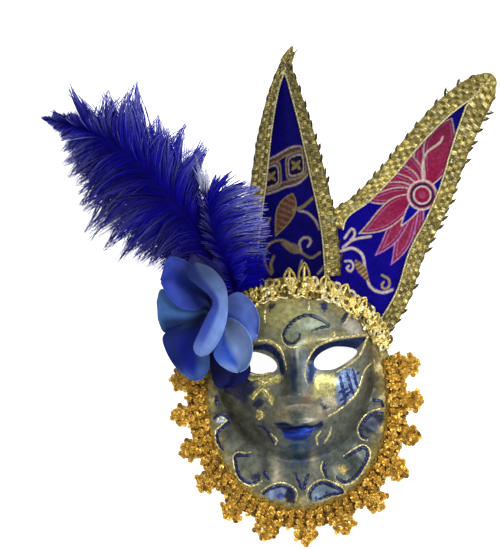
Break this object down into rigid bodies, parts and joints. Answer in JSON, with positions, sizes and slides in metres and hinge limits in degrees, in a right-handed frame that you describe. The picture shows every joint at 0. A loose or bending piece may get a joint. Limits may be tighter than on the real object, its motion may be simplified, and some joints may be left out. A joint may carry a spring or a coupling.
{
  "type": "carnival mask",
  "caption": "Ceramic jester carnival mask with cut-out eyes and fluted collar, brocade points edged in gold braid, gold lace, a silk flower and a blue feather plume; lies face up on its rim",
  "frame": {"origin": "middle of the bounding box in X and Y, on the plane that the rim lies on", "axes": "+Z out of the front of the face, +Y from the chin to the forehead, +X to the viewer's right"},
  "size_m": [0.4004, 0.419, 0.0739],
  "materials": {
    "painted_shell": "satin",
    "brocade": "satin",
    "gold_braid": "satin",
    "scroll_braid": "satin",
    "gold_lace": "satin",
    "flower_base": "matte",
    "petal_dark": "matte",
    "petal_light": "matte",
    "feather": "matte"
  },
  "bodies": {
    "root": {"face_shell": "painted_shell", "left_horn": "brocade", "right_horn": "brocade", "left_horn_braid_left": "gold_braid", "left_horn_braid_right": "gold_braid", "right_horn_braid_left": "gold_braid", "right_horn_braid_right": "gold_braid", "brow_braid": "scroll_braid", "collar_lace": "gold_lace", "flower_base": "flower_base", "flower_outer_petals": "petal_dark", "flower_inner_petals": "petal_light", "plume_main": "feather", "plume_side": "feather"}
  },
  "joints": []
}
